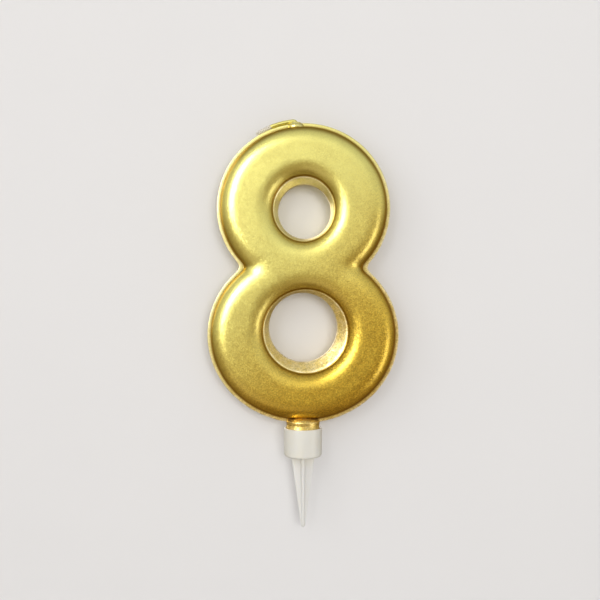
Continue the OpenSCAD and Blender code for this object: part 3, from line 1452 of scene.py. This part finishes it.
@dataclass
class Holder:
    """The moulded holder: a cup on a spike of two crossed blades, in one skin.

    The blades are front_w and side_w wide each way from the middle at their top, and tip_w just above
    the point. draft is how much slimmer the cup is at its foot, and parting how far the mould's parting
    line stands out.
    """

    socket_r: float = 6.78
    floor: float = 1.6
    floor_round: float = 0.35
    round_r: float = 1.2
    rim_round: float = 0.3
    draft: float = 0.1
    front_w: float = 4.65
    side_w: float = 3.1
    tip_w: float = 0.95
    blade_half: float = 0.75
    tip_half: float = 0.55
    point: float = 1.6
    root: float = 0.55
    parting: float = 0.05
    parting_w: float = 0.12
    squareness: int = 7
    join: int = 12
    blade_rows: int = 26
    columns: int = 320

    def __post_init__(self) -> None:
        """Takes the cup's and the spike's size from the frame."""
        low, high = in_mm(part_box("holder"))
        self.cup_r = high[0] - self.parting
        self.cup_h = high[2]
        self.spike_z = low[2]

    def cup(self) -> np.ndarray:
        """The cup's profile, from the middle of its floor over the rim to its base.

        Returns:
            Rows of (radius, z).
        """
        inner, outer, top, floor = self.socket_r, self.cup_r, self.cup_h, self.floor
        lead, edge = 0.02, self.rim_round
        slim = outer - self.draft
        return np.concatenate(
            [
                [[0.0, floor], [0.5, floor], [3.0, floor], [inner - 0.5, floor]],
                corner(inner - self.floor_round, floor + self.floor_round, self.floor_round, -90, 0),
                [[inner, 3.5], [inner, 6.0], [inner + lead, 9.0]],
                corner(inner + lead + edge, top - edge, edge, 180, 90),
                corner(outer - edge, top - edge, edge, 90, 0),
                [[outer - 0.01, 9.5], [outer - 0.04, 7.0], [outer - 0.07, 4.5], [slim, 2.5]],
                corner(slim - self.round_r, self.round_r, self.round_r, 0, -88, 10),
            ]
        )

    def cross(self, half_x: np.ndarray, half_y: np.ndarray, half_t: np.ndarray) -> np.ndarray:
        """The spike's section at several heights.

        Each blade is a superellipse, whose reach at an angle is the power mean of its two halves over
        the angle's cosine and sine. The two reaches join through a high power mean, and the outline is
        then shared out by equal lengths.

        Args:
            half_x: Half the front blade's width at each height.
            half_y: Half the cross rib's width.
            half_t: Half the blades' thickness.

        Returns:
            Points shaped (columns, heights, 2).
        """
        fine_steps, n = 2881, self.squareness
        angle = np.linspace(0, 2 * np.pi, fine_steps)[:, None]
        c, s = np.abs(np.cos(angle)), np.abs(np.sin(angle))
        front = ((c / half_x) ** n + (s / half_t) ** n) ** (-1 / n)
        rib = ((c / half_t) ** n + (s / half_y) ** n) ** (-1 / n)
        reach = (front**self.join + rib**self.join) ** (1 / self.join)
        line = np.stack([reach * np.cos(angle), reach * np.sin(angle)], -1)
        steps = np.linalg.norm(np.diff(line, axis=0), axis=-1)
        length = np.concatenate([np.zeros((1, line.shape[1])), np.cumsum(steps, axis=0)])
        wanted = np.linspace(0, 1, self.columns, endpoint=False)
        sections = []
        for i in range(line.shape[1]):
            places = wanted * length[-1, i]
            shared = [np.interp(places, length[:, i], line[:, i, k]) for k in (0, 1)]
            sections.append(np.stack(shared, -1))
        return np.stack(sections, 1)

    def spike(self) -> np.ndarray:
        """The spike from its flared root, narrowing in straight lines, to its rounded point.

        Returns:
            Points shaped (columns, heights, 3).
        """
        root = np.linspace(0, np.pi / 2, 6)
        tip = np.linspace(0, np.pi / 2, 8)[1:]
        blade = np.linspace(-1.2, self.spike_z + self.point, self.blade_rows)
        down = np.concatenate([-self.root * (1 - np.cos(root)), blade])
        flare = np.concatenate([self.root * (1 - np.sin(root)), np.zeros(self.blade_rows)])
        share = np.clip(-down / (-self.spike_z - self.point), 0, 1)
        tops = np.array([[self.front_w], [self.side_w], [self.blade_half]])
        ends = np.array([[self.tip_w], [self.tip_w], [self.tip_half]])
        halves = np.concatenate([tops + (ends - tops) * share + flare, ends * np.cos(tip) + NUDGE], 1)
        down = np.concatenate([down, self.spike_z + self.point * (1 - np.sin(tip))])
        section = self.cross(*halves)
        heights = np.broadcast_to(down[None, :, None], (*section.shape[:2], 1))
        return np.concatenate([section, heights], -1)

    def skin(self) -> Surface:
        """The whole holder: the turned cup, a base from its circle to the spike's section, the spike.

        Returns:
            A closed shell, marked where the plastic is thin.
        """
        cup = turned(self.cup(), self.columns)
        line = bell(np.sin(round_angles(self.columns)) * self.cup_r, 0, self.parting_w)
        outside = (np.hypot(cup[..., 0], cup[..., 1]) > self.socket_r + 0.4) & (cup[..., 2] > 0.2)
        grow = 1 + outside * line * self.parting / self.cup_r
        cup[..., :2] *= grow[..., None]
        spike = self.spike()
        rim = cup[:, -1:, :]
        share = np.array([0.15, 0.35, 0.6, 0.85])[None, :, None]
        base = rim + share * (spike[:, :1] - rim)
        point = np.broadcast_to(np.array([0.0, 0.0, self.spike_z]), (self.columns, 1, 3))
        grid = np.concatenate([cup, base, spike, point], 1)
        thin = smooth_step(-grid[..., 2], 0.0, 6.0)
        return Shell().grid(grid, True, marks=thin[..., None]).welded()

    def build(self, material: bpy.types.Material) -> bpy.types.Object:
        """Makes the holder.

        Args:
            material: The plastic's material.

        Returns:
            The piece.
        """
        piece = make_piece("moulded_holder", [self.skin()], material, ("thin",))
        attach(piece, Body.HOLDER.value)
        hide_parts("holder")
        return piece


# ---------------------------------------------------------------------------------------------
# The studio


@dataclass(frozen=True)
class Lamp:
    """A soft box: where it stands, in metres, its size and the brightness of its face."""

    name: str
    place: tuple[float, float, float]
    size: tuple[float, float]
    radiance: float
    diffuse: bool = True
    glossy: bool = True

    def build(self, target: tuple[float, float, float]) -> None:
        """Adds the lamp, whose power is pi times its area times its radiance.

        Args:
            target: The point that it faces.
        """
        width, height = self.size
        data = bpy.data.lights.new(self.name, "AREA")
        data.shape = "RECTANGLE"
        data.size = width
        data.size_y = height
        data.energy = math.pi * width * height * self.radiance
        lamp = bpy.data.objects.new(self.name, data)
        bpy.context.scene.collection.objects.link(lamp)
        lamp.visible_camera = False
        lamp.visible_diffuse = self.diffuse
        lamp.visible_glossy = self.glossy
        aim(lamp, self.place, target)


def aim(obj: bpy.types.Object, place: tuple[float, ...], target: tuple[float, ...]) -> None:
    """Puts an object at a place, with its -Z towards a target and its Y upwards.

    It tilts by the angle between straight down and the way to the target, then turns about Z until it
    faces that way.

    Args:
        obj: A lamp or the camera.
        place: Where it stands, in metres.
        target: The point that it faces.
    """
    way = np.subtract(target, place)
    tilt = math.acos(-way[2] / np.linalg.norm(way))
    turn = math.atan2(way[1], way[0]) - math.pi / 2
    obj.location = place
    obj.rotation_euler = (tilt, 0.0, turn)


@dataclass
class Studio:
    """The pale floor that the candle lies on, the lamps, the surroundings and the camera.

    Lengths are in metres, but the sensor is in millimetres. The camera stands straight in front of the
    view's middle, and the view is view_w wide at the candle. Reflections see the sky's stops from
    straight below to straight above, and towards the back they darken by back_dark into the ground's
    colour.
    """

    view_x: float = -0.0012
    view_z: float = 0.0624
    view_w: float = 0.240
    distance: float = 0.300
    sensor: float = 36.0
    nearest: float = 0.01
    farthest: float = 20.0
    floor_gap: float = 0.0010
    floor_half: float = 0.26
    floor_fade: tuple[float, float] = (0.18, 0.25)
    floor_colour: Colour = (0.79, 0.775, 0.765)
    floor_shade: float = 0.93
    floor_mottle: float = 0.25
    around: Colour = (0.50, 0.49, 0.48)
    backdrop: Colour = (0.76, 0.755, 0.75)
    ground: Colour = (0.16, 0.11, 0.05)
    back_fade: tuple[float, float] = (-0.10, 0.40)
    back_dark: float = 0.50
    sky: tuple[tuple[float, Colour], ...] = (
        (0.0, (0.18, 0.11, 0.04)),
        (0.09, (0.38, 0.27, 0.13)),
        (0.36, (0.33, 0.24, 0.11)),
        (0.48, (0.47, 0.375, 0.22)),
        (0.56, (0.77, 0.755, 0.69)),
        (1.0, (0.70, 0.71, 0.68)),
    )
    lit_point: tuple[float, float, float] = (0.0, 0.0, 0.07)
    lamps: tuple[Lamp, ...] = (
        Lamp("key", (-0.48, -0.60, 0.36), (0.40, 0.48), 8.5, diffuse=False),
        Lamp("soft_key", (-0.48, -0.60, 0.36), (0.70, 0.70), 1.8, glossy=False),
        Lamp("soft_front", (0.26, -1.18, 0.20), (0.50, 0.50), 6.5, glossy=False),
        Lamp("right_edge", (0.72, -0.30, -0.20), (0.30, 0.50), 2.4, diffuse=False),
        Lamp("low_left", (-0.35, -0.60, -0.50), (0.90, 0.50), 0.30, diffuse=False),
        Lamp("front", (0.05, -0.95, 0.60), (1.3, 0.70), 0.25),
        Lamp("back", (-0.45, 0.85, 0.40), (0.9, 0.7), 2.4),
    )

    def floor(self) -> None:
        """The floor: a plain sheet behind the candle, which only the camera sees, from the front."""
        middle = (self.view_x, CAD_BOX[1].y + self.floor_gap, self.view_z)
        signs = [(-1, -1), (1, -1), (1, 1), (-1, 1)]
        half = self.floor_half
        corners = [(middle[0] + i * half, middle[1], middle[2] + k * half) for i, k in signs]
        mesh = bpy.data.meshes.new("pale_floor")
        mesh.from_pydata(corners, [], [(0, 1, 2, 3)])
        mesh.materials.append(self.floor_material(middle))
        sheet = bpy.data.objects.new("pale_floor", mesh)
        bpy.context.scene.collection.objects.link(sheet)
        sheet.visible_glossy = False
        sheet.visible_diffuse = False
        sheet.visible_shadow = False

    def floor_material(self, middle: tuple[float, float, float]) -> bpy.types.Material:
        """Faintly mottled paper, clear from behind and clear again far from its middle.

        Args:
            middle: The sheet's middle.

        Returns:
            The floor's material.
        """
        material = bpy.data.materials.new("pale_floor")
        g = Graph(material)
        cloud = g.noise(40.0, 3.0, 0.5)
        darker = tuple(c * self.floor_shade for c in self.floor_colour)
        colour = g.mix(cloud * self.floor_mottle, self.floor_colour, darker)
        paper = g.node("ShaderNodeBsdfDiffuse", {}, {"Color": colour})
        clear = g.node("ShaderNodeBsdfTransparent")
        behind = g.node("ShaderNodeNewGeometry", output="Backfacing")
        away = g.vector("SUBTRACT", g.place(), middle)
        reach = g.vector("LENGTH", away, output="Value")
        gone = (behind + g.ramp(reach, *self.floor_fade)).clamped()
        g.surface(g.node("ShaderNodeMixShader", {}, {0: gone, 1: paper, 2: clear}))
        return material

    def surroundings(self) -> None:
        """Pale all round, but reflections see a bright ceiling over a dim warm ground."""
        world = bpy.data.worlds.new("studio")
        bpy.context.scene.world = world
        g = Graph(world)
        direction = g.node("ShaderNodeTexCoord", output="Generated")
        height = g.part(direction, "Z")
        sky = g.node("ShaderNodeValToRGB", {"stops": list(self.sky)}, {0: height * 0.5 + 0.5})
        depth = g.part(direction, "Y")
        seen = g.mix(g.ramp(depth, *self.back_fade) * self.back_dark, sky, self.ground)
        glossy = g.node("ShaderNodeLightPath", output="Is Glossy Ray")
        straight = g.node("ShaderNodeLightPath", output="Is Camera Ray")
        colour = g.mix(straight, g.mix(glossy, self.around, seen), self.backdrop)
        g.surface(g.node("ShaderNodeBackground", {}, {"Color": colour, "Strength": 1.0}))

    def camera(self) -> None:
        """The camera, straight in front. Its lens is the sensor times distance over the view's width."""
        data = bpy.data.cameras.new("camera")
        data.sensor_width = self.sensor
        data.lens = self.sensor * self.distance / self.view_w
        data.clip_start = self.nearest
        data.clip_end = self.farthest
        camera = bpy.data.objects.new("camera", data)
        bpy.context.scene.collection.objects.link(camera)
        aim(camera, (self.view_x, -self.distance, self.view_z), (self.view_x, 0.0, self.view_z))
        bpy.context.scene.camera = camera

    def build(self) -> None:
        """Sets up the camera, the floor, the surroundings and the lamps."""
        self.camera()
        self.floor()
        self.surroundings()
        for lamp in self.lamps:
            lamp.build(self.lit_point)
        bpy.context.scene.view_settings.view_transform = "Standard"


def main() -> None:
    """Builds the studio and the candle's pieces in order, and reports each."""
    logging.basicConfig(level=logging.INFO, format="%(name)s: %(message)s")
    Studio().build()
    gold = GoldLacquer()
    candle = Candle()
    pieces = candle.build(gold.material(), CandleWax().material())
    pieces.append(Wick(candle).build(WickFinish(gold).material()))
    pieces.append(Holder().build(MouldedPlastic().material()))
    inner_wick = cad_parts["wick"]
    inner_wick.data.materials.clear()
    inner_wick.data.materials.append(WickFinish(gold, coat_end=UNCOATED).material())
    for piece in pieces:
        LOG.info("%s: %d faces", piece.name, len(piece.data.polygons))


if __name__ == "__main__":
    main()
